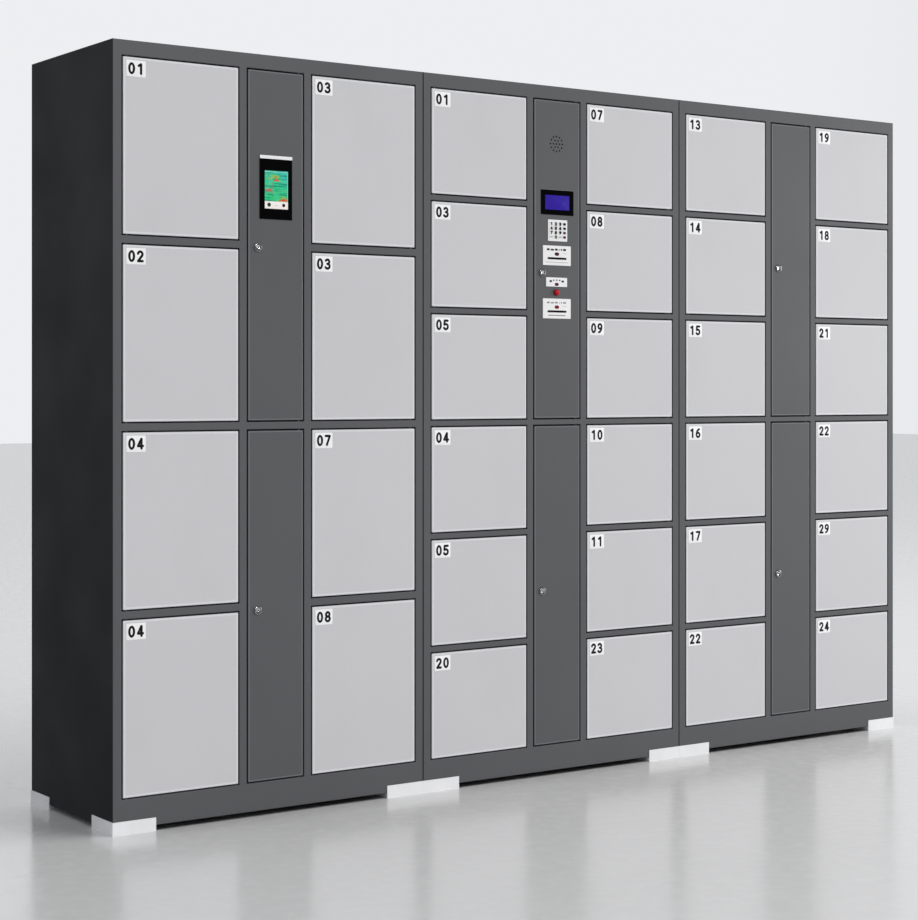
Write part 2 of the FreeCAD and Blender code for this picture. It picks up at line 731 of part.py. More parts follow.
def control_cutters():
    """Cut-outs of the middle module's upper service door."""
    y0 = FRONT - 1
    y1 = FRONT + DOOR_SHEET + 1
    lcd_body = (LCD_SIZE[0] - 6, LCD_SIZE[1] - 6)
    keypad_body = (KEYPAD_SIZE[0] - 6, KEYPAD_SIZE[1] - 6)
    cutters = [centred("b", LCD_CENTRE, lcd_body, y0, y1)]
    cutters.append(centred("b", KEYPAD_CENTRE, keypad_body, y0, y1))
    for centre in (PANEL_CENTRES[0], PANEL_CENTRES[2]):
        slit = (centre[0], centre[1] - TICKET_SLOT_DROP)
        cutters.append(centred("b", slit, TICKET_SLOT, y0, y1))
    x = module_left("b") + BUTTON_CENTRE[0]
    cutters.append(cylinder(BUTTON_RADIUS + 1.2, y0, y1, x, 0, BUTTON_CENTRE[1], "y"))
    return cutters + speaker_holes()


def make_service_doors():
    for module in MODULES:
        for level in ("upper", "lower"):
            x0 = module_left(module) + SERVICE_LEFT
            x1 = x0 + SERVICE_WIDTH
            z0, z1 = service_span(module, level)
            lock_x, lock_z = cam_axis(module, level)
            barrel = cylinder(CAM_BARREL_RADIUS, FRONT - 1, FRONT + 3, lock_x, 0, lock_z, "y")
            cutters = [barrel]
            solids = []
            if (module, level) == ("a", "upper"):
                size = (TERMINAL_SIZE[0] - 5, TERMINAL_SIZE[1] - 5)
                cutters.append(centred("a", TERMINAL_CENTRE, size, FRONT - 1, FRONT + 3))
            if (module, level) == ("b", "upper"):
                cutters += control_cutters()
                solids += [speaker(), button_barrel()]
            solids.append(door_pan(x0, x1, z0, z1).cut(cutters))
            solids.append(cam_housing(lock_x, lock_z))
            solids += pivot_pins(x1 - PIVOT_INSET, z0, z1)
            export(f"service_door_{module}_{level}", solids)
            export(f"cam_lock_{module}_{level}", cam_lock(lock_x, lock_z))


def make_touch_terminal():
    front = FRONT - TERMINAL_PROUD
    bezel = centred("a", TERMINAL_CENTRE, TERMINAL_SIZE, front, FRONT)
    rim = [e for e in bezel.Edges if e.CenterOfMass.y < front + 0.1]
    corners = [e for e in bezel.Edges if abs(e.tangentAt(e.FirstParameter).y) > 0.9]
    bezel = bezel.makeFillet(1.2, rim + corners)
    size = (TERMINAL_SIZE[0] - 5, TERMINAL_SIZE[1] - 5)
    body = centred("a", TERMINAL_CENTRE, size, FRONT, FRONT + 24)
    screen = (TERMINAL_CENTRE[0] + 1, TERMINAL_CENTRE[1] - 5.0)
    recess = centred("a", screen, (64.0, 91.0), front - 1, front + 0.8)
    export("touch_terminal", [bezel.fuse(body).cut(recess)])


def make_lcd_display():
    front = FRONT - 1.5
    bezel = centred("b", LCD_CENTRE, LCD_SIZE, front, FRONT)
    corners = [e for e in bezel.Edges if abs(e.tangentAt(e.FirstParameter).y) > 0.9]
    rim = [e for e in bezel.Edges if e.CenterOfMass.y < front + 0.1]
    bezel = bezel.makeFillet(0.9, rim + corners)
    size = (LCD_SIZE[0] - 6, LCD_SIZE[1] - 6)
    body = centred("b", LCD_CENTRE, size, FRONT, FRONT + 12)
    window = centred("b", LCD_CENTRE, LCD_WINDOW, front - 1, front + 1.2)
    export("lcd_display", [bezel.fuse(body).cut(window)])


def make_keypad():
    front = FRONT - 1.5
    plate = centred("b", KEYPAD_CENTRE, KEYPAD_SIZE, front, FRONT)
    corners = [e for e in plate.Edges if abs(e.tangentAt(e.FirstParameter).y) > 0.9]
    plate = plate.makeFillet(1.5, corners)
    plate = plate.makeFillet(0.4, [e for e in plate.Edges if e.CenterOfMass.y < front + 0.1])
    size = (KEYPAD_SIZE[0] - 6, KEYPAD_SIZE[1] - 6)
    body = centred("b", KEYPAD_CENTRE, size, FRONT, FRONT + 9)
    keys = []
    for column in range(4):
        for row in range(4):
            x = KEYPAD_CENTRE[0] + (column - 1.5) * KEY_PITCH[0]
            z = KEYPAD_CENTRE[1] + (row - 1.5) * KEY_PITCH[1]
            key = centred("b", (x, z), KEY_SIZE, front - 1.3, front)
            top = [e for e in key.Edges if e.CenterOfMass.y < front - 1.2]
            keys.append(key.makeFillet(0.5, top))
    export("keypad", [plate.fuse([body] + keys)])


def make_ticket_panels():
    panels = []
    for index, (centre, size) in enumerate(zip(PANEL_CENTRES, PANEL_SIZES)):
        plate = centred("b", centre, size, FRONT - PANEL_THICKNESS, FRONT)
        corners = [e for e in plate.Edges if abs(e.tangentAt(e.FirstParameter).y) > 0.9]
        plate = plate.makeFillet(1.5, corners)
        rim = [e for e in plate.Edges if e.CenterOfMass.y < FRONT - PANEL_THICKNESS + 0.1]
        plate = plate.makeFillet(0.4, rim)
        if index != 1:
            slit = (centre[0], centre[1] - TICKET_SLOT_DROP)
            plate = plate.cut(centred("b", slit, TICKET_SLOT, FRONT - 3, FRONT + 1))
        panels.append(plate)
    export("ticket_panels", panels)


def make_push_button():
    x = module_left("b") + BUTTON_CENTRE[0]
    z = BUTTON_CENTRE[1]
    front = FRONT - BUTTON_PROUD
    cap = cylinder(BUTTON_RADIUS, front, FRONT + 8, x, 0, z, "y")
    rise = BUTTON_DOME
    radius = (BUTTON_RADIUS ** 2 + rise ** 2) / (2 * rise)
    ball = Part.makeSphere(radius, Vector(x, front - rise + radius, z))
    dome = ball.common(cylinder(BUTTON_RADIUS + 1, front - rise - 1, front, x, 0, z, "y"))
    stem = cylinder(2.5, FRONT + 8, FRONT + 22, x, 0, z, "y")
    export("push_button", [cap.fuse([dome, stem]).removeSplitter()])


make_side_panels()
make_top_and_floor_panels()
make_back_panels()
make_frame_stiles()
make_frame_rails()
make_partitions()
make_shelves()
make_corner_feet()
make_electronic_locks()
make_control_electronics()
make_parcel_doors()
make_service_doors()
make_touch_terminal()
make_lcd_display()
make_keypad()
make_ticket_panels()
make_push_button()
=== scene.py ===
import math

import bpy
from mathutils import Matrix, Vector


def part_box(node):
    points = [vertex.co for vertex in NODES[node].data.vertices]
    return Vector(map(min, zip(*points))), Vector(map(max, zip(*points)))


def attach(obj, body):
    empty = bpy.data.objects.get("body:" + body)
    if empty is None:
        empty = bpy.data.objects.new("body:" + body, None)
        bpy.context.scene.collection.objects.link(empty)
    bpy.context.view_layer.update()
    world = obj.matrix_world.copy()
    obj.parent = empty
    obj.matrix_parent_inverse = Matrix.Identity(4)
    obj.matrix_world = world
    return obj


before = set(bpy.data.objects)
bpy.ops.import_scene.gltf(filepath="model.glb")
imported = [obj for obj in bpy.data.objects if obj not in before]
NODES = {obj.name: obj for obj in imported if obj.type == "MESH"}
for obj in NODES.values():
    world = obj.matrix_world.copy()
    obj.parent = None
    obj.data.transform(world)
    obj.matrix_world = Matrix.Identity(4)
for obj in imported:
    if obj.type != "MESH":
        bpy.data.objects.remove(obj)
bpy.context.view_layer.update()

MM = 0.001
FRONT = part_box("frame_stiles")[0].y  # the plane of the frame and of the closed doors
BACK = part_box("side_panels")[1].y

# The number on each parcel door, from the top of its column down
NUMBERS = {
    "a_left": ("01", "02", "04", "04"),
    "a_right": ("03", "03", "07", "08"),
    "b_left": ("01", "03", "05", "04", "05", "20"),
    "b_right": ("07", "08", "09", "10", "11", "23"),
    "c_left": ("13", "14", "15", "16", "17", "22"),
    "c_right": ("19", "18", "21", "22", "29", "24"),
}
SERVICE_DOORS = [f"{module}_{level}" for module in "abc" for level in ("upper", "lower")]
PARCEL_DOORS = [
    f"{column}_{row}" for column in NUMBERS for row in range(1, len(NUMBERS[column]) + 1)
]


def span(node):
    """Left, right, bottom and top of a CAD node in millimetres."""
    low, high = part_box(node)
    return low.x / MM, high.x / MM, low.z / MM, high.z / MM


# Layout in millimetres: sizes that the CAD model is built to, and places read from its nodes
PIN_LENGTH = 6.0  # the pivot pins stand this far above and below a door
HUB_RADIUS = 7.0  # the cam's round hub, the highest point of a cam lock
MODULE_GAP = 2.0
GAP = 3.0         # between a door and the frame
SIDE_LEFT, SIDE_RIGHT, BODY_BOTTOM, BODY_TOP = span("side_panels")
PITCH = (SIDE_RIGHT - SIDE_LEFT + MODULE_GAP) / 3
MODULE_LEFT = {name: SIDE_LEFT - MODULE_GAP / 2 + i * PITCH for i, name in enumerate("abc")}
STILE_LEFT, _, FRAME_BOTTOM, FRAME_TOP = span("frame_stiles")


def door_span(name):
    """Left, right, bottom and top of a door without its pivot pins."""
    left, right, bottom, top = span(name)
    return left, right, bottom + PIN_LENGTH, top - PIN_LENGTH


def lock_axis(door):
    """Centre (x, z) of a service door's cam lock."""
    left, right, _, top = span(f"cam_lock_{door}")
    return (left + right) / 2, top - HUB_RADIUS


# ---------------------------------------------------------------- materials


class Shader:
    """A Principled material with helpers for procedural detail in object coordinates."""

    def __init__(self, name, roughness=0.5, metallic=0.0):
        self.material = bpy.data.materials.new(name)
        self.material.use_nodes = True
        self.tree = self.material.node_tree
        self.shader = self.tree.nodes["Principled BSDF"]
        self.shader.inputs["Roughness"].default_value = roughness
        self.shader.inputs["Metallic"].default_value = metallic
        self.coordinates = self.node("ShaderNodeTexCoord").outputs["Object"]

    def node(self, kind, **values):
        made = self.tree.nodes.new(kind)
        for key, value in values.items():
            setattr(made, key, value)
        return made

    def link(self, start, end):
        self.tree.links.new(start, end)

    def noise(self, scale, detail=2.0, stretch=None):
        """A noise value around 0.5; stretch multiplies the coordinates along each axis."""
        coordinates = self.coordinates
        if stretch:
            mapping = self.node("ShaderNodeMapping")
            mapping.inputs["Scale"].default_value = stretch
            self.link(coordinates, mapping.inputs["Vector"])
            coordinates = mapping.outputs["Vector"]
        made = self.node("ShaderNodeTexNoise")
        made.inputs["Scale"].default_value = scale
        made.inputs["Detail"].default_value = detail
        self.link(coordinates, made.inputs["Vector"])
        return made.outputs["Fac"]

    def ranged(self, value, low, high, new_low, new_high):
        made = self.node("ShaderNodeMapRange")
        for key, number in zip(
            ("From Min", "From Max", "To Min", "To Max"), (low, high, new_low, new_high)
        ):
            made.inputs[key].default_value = number
        self.link(value, made.inputs["Value"])
        return made.outputs["Result"]

    def mixed(self, factor, first, second):
        """Colour mix; factor is a number or a socket, first and second are colours or sockets."""
        made = self.node("ShaderNodeMix", data_type="RGBA")
        if isinstance(factor, float):
            made.inputs["Factor"].default_value = factor
        else:
            self.link(factor, made.inputs["Factor"])
        for key, value in ((6, first), (7, second)):
            if isinstance(value, tuple):
                made.inputs[key].default_value = (*value, 1.0)
            else:
                self.link(value, made.inputs[key])
        return made.outputs[2]

    def colour(self, value):
        self.link(value, self.shader.inputs["Base Color"])

    def rough(self, value):
        self.link(value, self.shader.inputs["Roughness"])

    def bump(self, value, strength, distance):
        made = self.node("ShaderNodeBump")
        made.inputs["Strength"].default_value = strength
        made.inputs["Distance"].default_value = distance
        self.link(value, made.inputs["Height"])
        self.link(made.outputs["Normal"], self.shader.inputs["Normal"])

    def set(self, name, value):
        self.shader.inputs[name].default_value = value


def shade(colour, factor):
    return tuple(min(c * factor, 1.0) for c in colour)


def powder_coat(name, colour, roughness, spread=0.05, specular=0.5):
    """Fine-textured powder coat: slow tone drift, faint handling marks and orange peel."""
    s = Shader(name, roughness)
    s.set("Specular IOR Level", specular)
    drift = s.ranged(s.noise(1.7, 3.0), 0.3, 0.7, 0.0, 1.0)
    base = s.mixed(drift, shade(colour, 1 - spread), shade(colour, 1 + spread))
    speck = s.ranged(s.noise(900.0, 1.0), 0.35, 0.65, 0.0, 1.0)
    grain = s.mixed(speck, shade(colour, 0.94), shade(colour, 1.06))
    smudge = s.ranged(s.noise(7.0, 5.0, (1.0, 1.0, 0.5)), 0.52, 0.75, 0.0, 0.22)
    s.colour(s.mixed(smudge, s.mixed(0.45, base, grain), shade(colour, 0.9)))
    s.rough(s.ranged(s.noise(4.0, 4.0), 0.3, 0.7, roughness - 0.05, roughness + 0.07))
    s.bump(s.noise(650.0, 2.0), 0.16, 0.0003)
    return s.material


def plastic(name, colour, roughness, spread=0.05, bump=0.08, scale=500.0, specular=0.5):
    """Moulded or printed surface with a slow tone drift and a fine bump."""
    s = Shader(name, roughness)
    s.set("Specular IOR Level", specular)
    drift = s.ranged(s.noise(14.0, 4.0), 0.3, 0.7, 0.0, 1.0)
    s.colour(s.mixed(drift, shade(colour, 1 - spread), shade(colour, 1 + spread)))
    s.rough(s.ranged(s.noise(30.0, 3.0), 0.3, 0.7, roughness - 0.06, roughness + 0.08))
    s.bump(s.noise(scale, 2.0), bump, 0.0002)
    return s.material


def metal(name, colour, roughness, stretch=(1.0, 1.0, 1.0)):
    """Plated or bare metal with a fine grain."""
    s = Shader(name, roughness, 1.0)
    drift = s.ranged(s.noise(60.0, 3.0), 0.3, 0.7, 0.0, 1.0)
    s.colour(s.mixed(drift, shade(colour, 0.93), shade(colour, 1.04)))
    grain = s.noise(420.0, 4.0, stretch)
    s.rough(s.ranged(grain, 0.3, 0.7, max(roughness - 0.05, 0.04), roughness + 0.08))
    s.bump(grain, 0.05, 0.0001)
    return s.material


def lit(name, colour, strength, spread, scale, coat=0.4, specular=0.5):
    """Glowing display surface behind a smooth cover."""
    s = Shader(name, 0.22)
    drift = s.ranged(s.noise(scale, 3.0), 0.3, 0.7, 0.0, 1.0)
    glow = s.mixed(drift, shade(colour, 1 - spread), shade(colour, 1 + spread))
    s.colour(glow)
    s.link(glow, s.shader.inputs["Emission Color"])
    s.set("Emission Strength", strength)
    s.set("Coat Weight", coat)
    s.set("Coat Roughness", 0.08)
    s.set("Specular IOR Level", specular)
    s.rough(s.ranged(s.noise(90.0, 2.0), 0.3, 0.7, 0.18, 0.28))
    return s.material


def display(name):
    """Backlit picture: green ground, blue in its top right corner, with fine lines both ways."""
    s = Shader(name, 0.16)
    split = s.node("ShaderNodeSeparateXYZ")
    s.link(s.coordinates, split.inputs["Vector"])
    low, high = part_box("touch_terminal")
    height = s.ranged(split.outputs["Z"], low.z + 0.04, high.z - 0.02, 0.0, 1.0)
    ground = s.mixed(height, (0.012, 0.30, 0.10), (0.030, 0.30, 0.20))
    across = s.ranged(split.outputs["X"], low.x + 0.02, high.x - 0.02, 0.0, 1.0)
    corner = s.node("ShaderNodeMath", operation="MULTIPLY")
    s.link(height, corner.inputs[0])
    s.link(across, corner.inputs[1])
    blue = s.ranged(corner.outputs["Value"], 0.34, 0.90, 0.0, 0.85)
    ground = s.mixed(blue, ground, (0.005, 0.19, 0.24))
    patches = s.ranged(s.noise(48.0, 2.0, (1.0, 1.0, 1.6)), 0.46, 0.74, 0.0, 0.45)
    ground = s.mixed(patches, ground, (0.10, 0.36, 0.20))
    lines = s.ranged(s.noise(230.0, 2.0, (0.12, 1.0, 1.6)), 0.50, 0.62, 0.0, 0.8)
    ground = s.mixed(lines, ground, (0.004, 0.10, 0.075))
    columns = s.ranged(s.noise(200.0, 1.0, (1.6, 1.0, 0.14)), 0.56, 0.66, 0.0, 0.4)
    ground = s.mixed(columns, ground, (0.008, 0.14, 0.09))
    s.colour(ground)
    s.link(ground, s.shader.inputs["Emission Color"])
    s.set("Emission Strength", 0.85)
    s.rough(s.ranged(s.noise(90.0, 2.0), 0.3, 0.7, 0.12, 0.2))
    return s.material


FRAME_GREY = (0.070, 0.0718, 0.078)
DOOR_GREY = (0.515, 0.516, 0.537)

paint_frame = powder_coat("frame_paint", FRAME_GREY, 0.50)
# Lighter frame paint on the service doors' rims: a painted highlight along their edges
highlight_paint_frame = powder_coat("frame_rim_highlight", shade(FRAME_GREY, 1.9), 0.44)
# Pale paint for the strip above the LCD: a painted highlight on the top edge of its bezel
lcd_highlight_grey = powder_coat("lcd_highlight_paint", shade(FRAME_GREY, 2.6), 0.42)
# Painted shade: near-black charcoal on the outer sides, which are the frame's paint lying in shadow
painted_shade_sides = powder_coat("painted_shade_side_panel", (0.0135, 0.014, 0.016), 0.56, specular=0.08)
paint_door = powder_coat("door_paint", DOOR_GREY, 0.46, 0.02)
# Lighter door paint on the parcel doors' rims: a painted highlight along their edges
highlight_paint_door = powder_coat("door_rim_highlight", shade(DOOR_GREY, 1.2), 0.42, 0.02)
paint_inner = powder_coat("inner_paint", (0.20, 0.202, 0.208), 0.55)

foot_white = plastic("foot_plastic", (0.74, 0.745, 0.765), 0.42, 0.03, 0.1, 300.0)
# Black plastic of the electronic locks, also painted shade in the cam locks' bores and keyholes
lock_black_and_shade = plastic("lock_plastic_and_painted_shade", (0.022, 0.023, 0.025), 0.45)
electronics = plastic("electronics_plastic", (0.05, 0.056, 0.06), 0.5)
label_white = plastic("label_white", (0.80, 0.80, 0.81), 0.38, 0.02, 0.04, 900.0)
plate_white = plastic("plate_white", (0.76, 0.76, 0.765), 0.36, 0.02, 0.04, 800.0)
mark_grey = plastic("mark_grey", (0.20, 0.185, 0.19), 0.5, 0.1, 0.04, 900.0)
mark_pale = plastic("mark_pale", (0.42, 0.42, 0.43), 0.5, 0.06, 0.04, 900.0)
# Black rubber of the ticket slots' lips, also used as painted shade in the gaps round the doors
black_rubber_and_gap_shade = plastic("slot_lip_rubber_and_gap_shade", (0.005, 0.005, 0.0055), 0.75, 0.1, 0.2, 400.0, 0.1)
mark_maroon = plastic("mark_maroon", (0.065, 0.012, 0.025), 0.3, 0.15, 0.03, 400.0, 0.2)
mark_red = plastic("mark_red", (0.17, 0.009, 0.018), 0.28, 0.12, 0.03, 400.0, 0.2)
button_red = plastic("button_red", (0.36, 0.003, 0.012), 0.24, 0.12, 0.02, 300.0, 0.16)
ink_black = plastic("ink_black", (0.004, 0.004, 0.005), 0.55, 0.1, 0.05, 900.0, 0.12)
bezel_black = plastic("bezel_black", (0.0015, 0.0015, 0.0018), 0.12, 0.1, 0.02, 300.0, 0.1)

chrome = metal("lock_chrome", (0.66, 0.66, 0.67), 0.13)
collar_steel = metal("collar_steel", (0.36, 0.36, 0.37), 0.2)
zinc = metal("zinc_plate", (0.55, 0.55, 0.54), 0.34, (1.0, 1.0, 6.0))
pin_steel = metal("pin_steel", (0.10, 0.10, 0.105), 0.42)

screen_map = display("screen_map")
screen_pale = lit("screen_pale", (0.13, 0.42, 0.34), 0.6, 0.1, 60.0)
screen_lime = lit("screen_lime", (0.13, 0.30, 0.07), 0.6, 0.3, 90.0)
screen_orange = lit("screen_orange", (0.30, 0.075, 0.018), 0.7, 0.35, 120.0)
screen_scarlet = lit("screen_scarlet", (0.42, 0.045, 0.012), 0.8, 0.25, 120.0)
screen_pink = lit("screen_pink", (0.19, 0.13, 0.10), 0.6, 0.3, 120.0)
screen_bar = lit("screen_bar", (0.56, 0.52, 0.51), 0.55, 0.05, 60.0)
screen_dark = lit("screen_dark", (0.010, 0.030, 0.022), 0.1, 0.2, 120.0)
screen_wine = lit("screen_wine", (0.030, 0.008, 0.010), 0.1, 0.2, 120.0)
screen_blue = lit("screen_blue", (0.017, 0.009, 0.160), 0.85, 0.07, 14.0, 0.0, 0.15)


def paint_node(name, material):
    node = NODES[name]
    node.data.materials.clear()
    node.data.materials.append(material)


def repaint(name, material, chosen):
    """Second material on the faces of a CAD node that chosen(centre in mm, normal) picks."""
    node = NODES[name]
    node.data.materials.append(material)
    index = len(node.data.materials) - 1
    for polygon in node.data.polygons:
        if chosen((node.matrix_world @ polygon.center) / MM, polygon.normal):
            polygon.material_index = index


# ---------------------------------------------------------------- mesh building


def rounded_rect(cx, cz, width, height, radius, inset=0.0, steps=6):
    """Round-cornered outline in millimetres, anticlockwise seen from the front."""
    half_w = width / 2 - inset
    half_h = height / 2 - inset
    r = max(min(radius - inset, half_w, half_h), 0.05)
    points = []
    for quarter, (sx, sz) in enumerate(((1, 1), (-1, 1), (-1, -1), (1, -1))):
        for i in range(steps + 1):
            turn = math.radians(90 * quarter + 90 * i / steps)
            x = cx + sx * (half_w - r) + r * math.cos(turn)
            z = cz + sz * (half_h - r) + r * math.sin(turn)
            points.append((x, z))
    return points


def circle(cx, cz, radius, steps=40):
    turns = [2 * math.pi * i / steps for i in range(steps)]
    return [(cx + radius * math.cos(t), cz + radius * math.sin(t)) for t in turns]


class Piece:
    """A mesh piece drawn in millimetres on the front plane; w is the height towards the viewer."""

    def __init__(self, name, *materials):
        self.name = name
        self.materials = materials
        self.points = []
        self.faces = []
        self.slots = []

    def ring(self, outline, w):
        start = len(self.points)
        self.points += [(x * MM, FRONT - w * MM, z * MM) for x, z in outline]
        return list(range(start, len(self.points)))

    def face(self, indices, slot):
        self.faces.append(indices)
        self.slots.append(slot)

    def bridge(self, low, high, slot):
        count = len(low)
        for i in range(count):
            j = (i + 1) % count
            self.face((low[i], low[j], high[j], high[i]), slot)

    def slab(self, outline, back, front, bevel=0.3, slot=0, steps=3):
        """Plate with a rounded front edge. outline(inset) gives the outline at that inset."""
        rings = [self.ring(outline(0.0), back)]
        for i in range(steps + 1):
            turn = math.pi / 2 * i / steps
            inset = bevel * (1 - math.cos(turn))
            rings.append(self.ring(outline(inset), front - bevel + bevel * math.sin(turn)))
        for low, high in zip(rings, rings[1:]):
            self.bridge(low, high, slot)
        self.face(rings[-1], slot)
        self.face(rings[0][::-1], slot)

    def rect(self, cx, cz, width, height, radius, back, front, bevel=0.3, slot=0):
        self.slab(
            lambda inset: rounded_rect(cx, cz, width, height, radius, inset),
            back, front, bevel, slot,
        )

    def block(self, x0, x1, z0, z1, back, front, slot=0):
        """Plain filler block."""
        outline = [(x0, z0), (x1, z0), (x1, z1), (x0, z1)]
        low = self.ring(outline, back)
        high = self.ring(outline, front)
        self.bridge(low, high, slot)
        self.face(high, slot)
        self.face(low[::-1], slot)

    def frame_ring(self, cx, cz, outer, inner, radii, back, front, slot=0, bevel=0.3):
        """Round-cornered frame with an open middle."""
        big = (cx, cz, outer[0], outer[1], radii[0])
        small = (cx, cz, inner[0], inner[1], radii[1])
        rings = [
            self.ring(rounded_rect(*big), back),
            self.ring(rounded_rect(*big), front - bevel),
            self.ring(rounded_rect(*big, bevel * 0.3), front - bevel * 0.3),
            self.ring(rounded_rect(*big, bevel), front),
            self.ring(rounded_rect(*small, -bevel), front),
            self.ring(rounded_rect(*small, -bevel * 0.3), front - bevel * 0.3),
            self.ring(rounded_rect(*small), front - bevel),
            self.ring(rounded_rect(*small), back),
        ]
        for low, high in zip(rings, rings[1:] + rings[:1]):
            self.bridge(low, high, slot)

    def lathe(self, cx, cz, profile, slot=0, steps=48):
        """Turned part about the front's normal; profile lists (radius, w) from the back rim on."""
        rings = [self.ring(circle(cx, cz, r, steps), w) for r, w in profile]
        for low, high in zip(rings, rings[1:]):
            self.bridge(low, high, slot)
        return rings

    def turned(self, cx, cz, profile, slot=0, steps=48):
        """Closed turned part without a bore."""
        rings = self.lathe(cx, cz, profile, slot, steps)
        self.face(rings[-1], slot)
        self.face(rings[0][::-1], slot)

    def turned_ring(self, cx, cz, profile, slot=0, steps=48):
        """Closed turned part with a bore: the profile returns to its start."""
        rings = self.lathe(cx, cz, profile, slot, steps)
        self.bridge(rings[-1], rings[0], slot)

    def stroke(self, path, half, back, front, slot=0):
        """Flat line with round ends along an open path."""
        outline = stroke_outline(path, half)
        low = self.ring(outline, back)
        high = self.ring(outline, front)
        self.bridge(low, high, slot)
        self.face(high, slot)
        self.face(low[::-1], slot)

    def loop(self, cx, cz, rx, rz, half, back, front, slot=0, steps=36):
        """Flat line along an ellipse."""
        def oval(extra):
            turns = [2 * math.pi * i / steps for i in range(steps)]
            return [
                (cx + (rx + extra) * math.cos(t), cz + (rz + extra) * math.sin(t)) for t in turns
            ]
        rings = [
            self.ring(oval(half), back),
            self.ring(oval(half), front),
            self.ring(oval(-half), front),
            self.ring(oval(-half), back),
        ]
        for low, high in zip(rings, rings[1:] + rings[:1]):
            self.bridge(low, high, slot)

    def done(self, body, slot, smooth=40):
        mesh = bpy.data.meshes.new(self.name)
        mesh.from_pydata(self.points, [], self.faces)
        for material in self.materials:
            mesh.materials.append(material)
        mesh.polygons.foreach_set("material_index", self.slots)
        mesh.update()
        mesh.shade_smooth()
        mesh.set_sharp_from_angle(angle=math.radians(smooth))
        piece = bpy.data.objects.new(self.name, mesh)
        bpy.context.scene.collection.objects.link(piece)
        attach(piece, body)
        return piece


def stroke_outline(path, half, cap_steps=6):
    """Closed outline of a line of constant width with round ends."""
    def side(points):
        out = []
        last = len(points) - 1
        for i, (x, z) in enumerate(points):
            before = points[max(i - 1, 0)]
            after = points[min(i + 1, last)]
            run = Vector((after[0] - before[0], after[1] - before[1])).normalized()
            out.append((x + run.y * half, z - run.x * half))
        end = Vector(points[last])
        run = (end - Vector(points[last - 1])).normalized()
        start = math.atan2(-run.x, run.y)
        for k in range(1, cap_steps):
            turn = start + math.pi * k / cap_steps
            out.append((end.x + half * math.cos(turn), end.y + half * math.sin(turn)))
        return out
    return side(path) + side(path[::-1])


def arc(cx, cz, rx, rz, start, end, steps=18):
    turns = [math.radians(start + (end - start) * i / steps) for i in range(steps + 1)]
    return [(cx + rx * math.cos(t), cz + rz * math.sin(t)) for t in turns]


def curve(first, middle, last, steps=14):
    """Quadratic curve through its two ends."""
    points = []
    for i in range(steps + 1):
        t = i / steps
        a, b, c = (1 - t) ** 2, 2 * t * (1 - t), t * t
        points.append(tuple(a * p + b * q + c * r for p, q, r in zip(first, middle, last)))
    return points


HALF_STROKE = 0.112
DIGIT_WIDTH = 0.64

# Strokes of the ten digits in a cell one unit high: open paths and (cx, cz, rx, rz) loops
DIGITS = {
    "0": [(0.31, 0.5, 0.222, 0.412)],
    "1": [[(0.38, 0.912), (0.38, 0.088)], [(0.38, 0.912), (0.16, 0.77)]],
    "2": [
        arc(0.30, 0.69, 0.215, 0.222, 168, -28) + [(0.12, 0.10)],
        [(0.10, 0.088), (0.53, 0.088)],
    ],
    "3": [arc(0.28, 0.715, 0.20, 0.197, 150, -92), arc(0.28, 0.305, 0.235, 0.217, 92, -150)],
    "4": [
        [(0.40, 0.912), (0.09, 0.30)],
        [(0.09, 0.295), (0.56, 0.295)],
        [(0.42, 0.912), (0.42, 0.088)],
    ],
    "5": [
        [(0.14, 0.912), (0.51, 0.912)],
        [(0.14, 0.912), (0.11, 0.54)],
        arc(0.28, 0.335, 0.24, 0.247, 132, -150),
    ],
    "6": [(0.31, 0.312, 0.215, 0.224), curve((0.097, 0.33), (0.10, 0.80), (0.45, 0.905))],
    "7": [[(0.09, 0.912), (0.53, 0.912)], [(0.53, 0.905), (0.22, 0.088)]],
    "8": [(0.31, 0.712, 0.185, 0.20), (0.31, 0.30, 0.22, 0.212)],
    "9": [(0.31, 0.688, 0.215, 0.224), curve((0.523, 0.67), (0.52, 0.20), (0.17, 0.095))],
}


INK_HEIGHT = 0.1  # marks start this far inside their surface, and digits stand as far out of it
STROKE_STEP = 0.02  # each further stroke of a digit stands this much higher than the last


def draw_digit(piece, digit, x, z, height, base, slot, weight=1.0, width=1.0):
    """One digit with its lower left corner at (x, z), on a surface at the height base."""
    half = HALF_STROKE * height * weight
    for i, shape in enumerate(DIGITS[digit]):
        back = base - INK_HEIGHT
        front = base + INK_HEIGHT + STROKE_STEP * i
        if isinstance(shape, tuple):
            cx, cz, rx, rz = (v * height for v in shape)
            piece.loop(x + cx * width, z + cz, rx * width, rz, half, back, front, slot)
        else:
            path = [(x + px * height * width, z + pz * height) for px, pz in shape]
            piece.stroke(path, half, back, front, slot)


# ---------------------------------------------------------------- CAD nodes

FRONT_MM = FRONT / MM
DOOR_SHEET = 1.0
DOOR_BACK = FRONT_MM + 18.0
TOUCH = 0.01  # margin for telling faces apart
COUPLING_RADIUS = 9.5  # round the bolts that couple two modules
COUPLING_REACH = 12    # how far the bolts reach to each side of the joint
COUPLINGS = [(y, z) for y in (-150.0, 170.0) for z in (150.0, 1650.0)]
HEAD_RADIUS = 11.5     # round the cam lock's head and the nut behind the door
BARREL_RADIUS = 7.9    # just inside the cam lock's barrel
SPEAKER = (MODULE_LEFT["b"] + 421.0, 1649.5)
GRILLE_RADIUS = 24.0   # round the grille's holes
CONE_RADIUS = 28.5     # round the loudspeaker behind them
BEZEL_RADIUS = 9.2     # round the push button's bezel

FOLDED_STEEL = (
    "side_panels", "top_panels", "floor_panels", "back_panels", "frame_stiles", "frame_rails",
)
for part in FOLDED_STEEL:
    paint_node(part, paint_frame)
